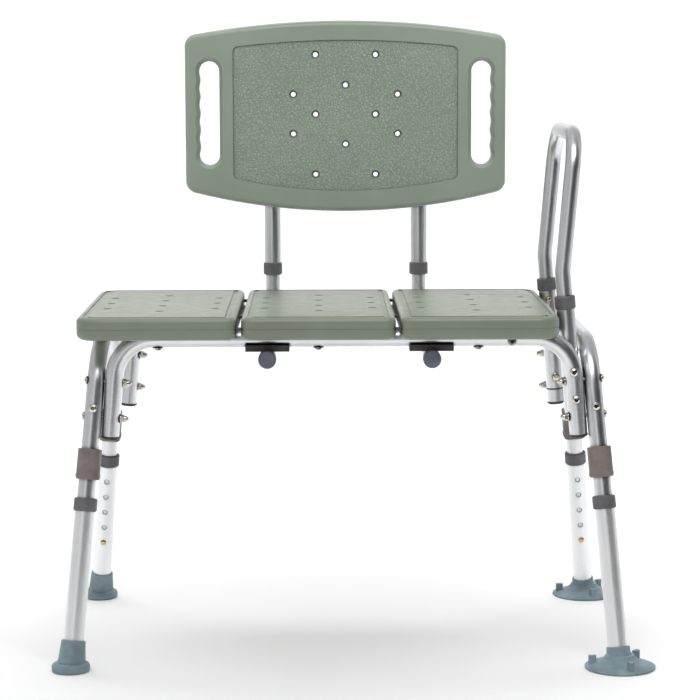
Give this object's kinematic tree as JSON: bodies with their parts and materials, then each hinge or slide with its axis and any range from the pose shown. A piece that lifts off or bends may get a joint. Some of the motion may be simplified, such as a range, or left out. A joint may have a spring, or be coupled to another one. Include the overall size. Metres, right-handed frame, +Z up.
{
  "type": "bath transfer bench",
  "caption": "Bath transfer bench: perforated plastic seat panels on a splayed tube frame with height-adjustable legs, a backrest with hand slots, a side armrest and suction feet.",
  "frame": {"origin": "middle of the bottom of the whole bench's bounding box, at floor level", "axes": "+Z up; +X along the seat towards the armrest, to the right of someone facing the backrest; +Y from the front of the seat towards the backrest"},
  "size_m": [0.846, 0.5607, 0.9079],
  "materials": {
    "sage_plastic": "moulded, fine satin texture",
    "satin_aluminium": "satin anodised",
    "collar_plastic": "moulded, satin",
    "sleeve_plastic": "moulded, matte",
    "foot_rubber": "matte rubber",
    "button_brass": "turned, worn bright",
    "nickel_hardware": "nickel plated",
    "steel_screws": "zinc plated",
    "black_plastic": "moulded, matte",
    "cap_plastic": "moulded, satin"
  },
  "bodies": {
    "frame": {"arm_socket_collars": "collar_plastic", "arm_socket_front": "satin_aluminium", "arm_socket_plugs": "black_plastic", "arm_socket_rear": "satin_aluminium", "back_tube_end_caps": "cap_plastic", "back_tube_left": "satin_aluminium", "back_tube_right": "satin_aluminium", "back_tube_saddles": "black_plastic", "front_rail": "satin_aluminium", "leg_bolt_nuts": "nickel_hardware", "leg_bolts": "nickel_hardware", "leg_cross_screws": "nickel_hardware", "leg_sleeves": "sleeve_plastic", "panel_links": "black_plastic", "rail_end_plugs": "black_plastic", "rail_front_screw": "steel_screws", "rear_rail": "satin_aluminium", "saddle_bolts": "steel_screws", "seat_panel_center": "sage_plastic", "seat_panel_left": "sage_plastic", "seat_panel_right": "sage_plastic", "seat_screws": "steel_screws", "side_frame_left": "satin_aluminium", "side_frame_right": "satin_aluminium", "socket_bolt_nuts": "nickel_hardware", "socket_bolts": "nickel_hardware"},
    "leg_front_left": {"leg_tube_front_left": "satin_aluminium", "leg_collar_front_left": "collar_plastic", "foot_tip_front": "foot_rubber"},
    "leg_button_front_left": {"leg_button_front_left": "button_brass"},
    "leg_front_right": {"leg_tube_front_right": "satin_aluminium", "leg_collar_front_right": "collar_plastic", "suction_cup_front": "foot_rubber"},
    "leg_button_front_right": {"leg_button_front_right": "button_brass"},
    "leg_rear_left": {"leg_tube_rear_left": "satin_aluminium", "leg_collar_rear_left": "collar_plastic", "foot_tip_rear": "foot_rubber"},
    "leg_button_rear_left": {"leg_button_rear_left": "button_brass"},
    "leg_rear_right": {"leg_tube_rear_right": "satin_aluminium", "leg_collar_rear_right": "collar_plastic", "suction_cup_rear": "foot_rubber"},
    "leg_button_rear_right": {"leg_button_rear_right": "button_brass"},
    "armrest": {"armrest_tube": "satin_aluminium"},
    "arm_button_front": {"arm_button_front": "button_brass"},
    "arm_button_rear": {"arm_button_rear": "button_brass"},
    "backrest": {"backrest_panel": "sage_plastic", "back_post_left": "satin_aluminium", "back_post_right": "satin_aluminium", "back_post_collars": "collar_plastic", "back_post_plugs": "black_plastic", "backrest_screws": "steel_screws"},
    "back_button_left": {"back_button_left": "button_brass"},
    "back_button_right": {"back_button_right": "button_brass"}
  },
  "joints": [
    {"name": "leg_extend_front_left", "type": "slide", "parent": "frame", "child": "leg_front_left", "axis": [-0.0858, -0.1741, -0.981], "range_m": [0, 0.1016], "deforming": ["leg_button_front_left"]},
    {"name": "leg_button_press_front_left", "type": "slide", "parent": "frame", "child": "leg_button_front_left", "axis": [0.0152, -0.9847, 0.1735], "range_m": [0, 0.004], "stiffness_N_per_m": 500, "springref_m": -0.002},
    {"name": "leg_extend_front_right", "type": "slide", "parent": "frame", "child": "leg_front_right", "axis": [0.0858, -0.1741, -0.981], "range_m": [0, 0.1016], "deforming": ["leg_button_front_right"]},
    {"name": "leg_button_press_front_right", "type": "slide", "parent": "frame", "child": "leg_button_front_right", "axis": [-0.0152, -0.9847, 0.1735], "range_m": [0, 0.004], "stiffness_N_per_m": 500, "springref_m": -0.002},
    {"name": "leg_extend_rear_left", "type": "slide", "parent": "frame", "child": "leg_rear_left", "axis": [-0.0858, 0.1741, -0.981], "range_m": [0, 0.1016], "deforming": ["leg_button_rear_left"]},
    {"name": "leg_button_press_rear_left", "type": "slide", "parent": "frame", "child": "leg_button_rear_left", "axis": [0.0152, 0.9847, 0.1735], "range_m": [0, 0.004], "stiffness_N_per_m": 500, "springref_m": -0.002},
    {"name": "leg_extend_rear_right", "type": "slide", "parent": "frame", "child": "leg_rear_right", "axis": [0.0858, 0.1741, -0.981], "range_m": [0, 0.1016], "deforming": ["leg_button_rear_right"]},
    {"name": "leg_button_press_rear_right", "type": "slide", "parent": "frame", "child": "leg_button_rear_right", "axis": [-0.0152, 0.9847, 0.1735], "range_m": [0, 0.004], "stiffness_N_per_m": 500, "springref_m": -0.002},
    {"name": "armrest_lift", "type": "slide", "parent": "frame", "child": "armrest", "axis": [-0.0872, 0, 0.9962], "range_m": [0, 0.075], "deforming": ["arm_button_front", "arm_button_rear"]},
    {"name": "arm_button_press_front", "type": "slide", "parent": "armrest", "child": "arm_button_front", "axis": [0, -1, 0], "range_m": [0, 0.004], "stiffness_N_per_m": 500, "springref_m": -0.002},
    {"name": "arm_button_press_rear", "type": "slide", "parent": "armrest", "child": "arm_button_rear", "axis": [0, 1, 0], "range_m": [0, 0.004], "stiffness_N_per_m": 500, "springref_m": -0.002},
    {"name": "backrest_lift", "type": "slide", "parent": "frame", "child": "backrest", "axis": [0, 0, 1], "range_m": [0, 0.1], "deforming": ["back_button_left", "back_button_right"]},
    {"name": "back_button_press_left", "type": "slide", "parent": "frame", "child": "back_button_left", "axis": [0, -1, 0], "range_m": [0, 0.004], "stiffness_N_per_m": 500, "springref_m": -0.002},
    {"name": "back_button_press_right", "type": "slide", "parent": "frame", "child": "back_button_right", "axis": [0, -1, 0], "range_m": [0, 0.004], "stiffness_N_per_m": 500, "springref_m": -0.002}
  ]
}
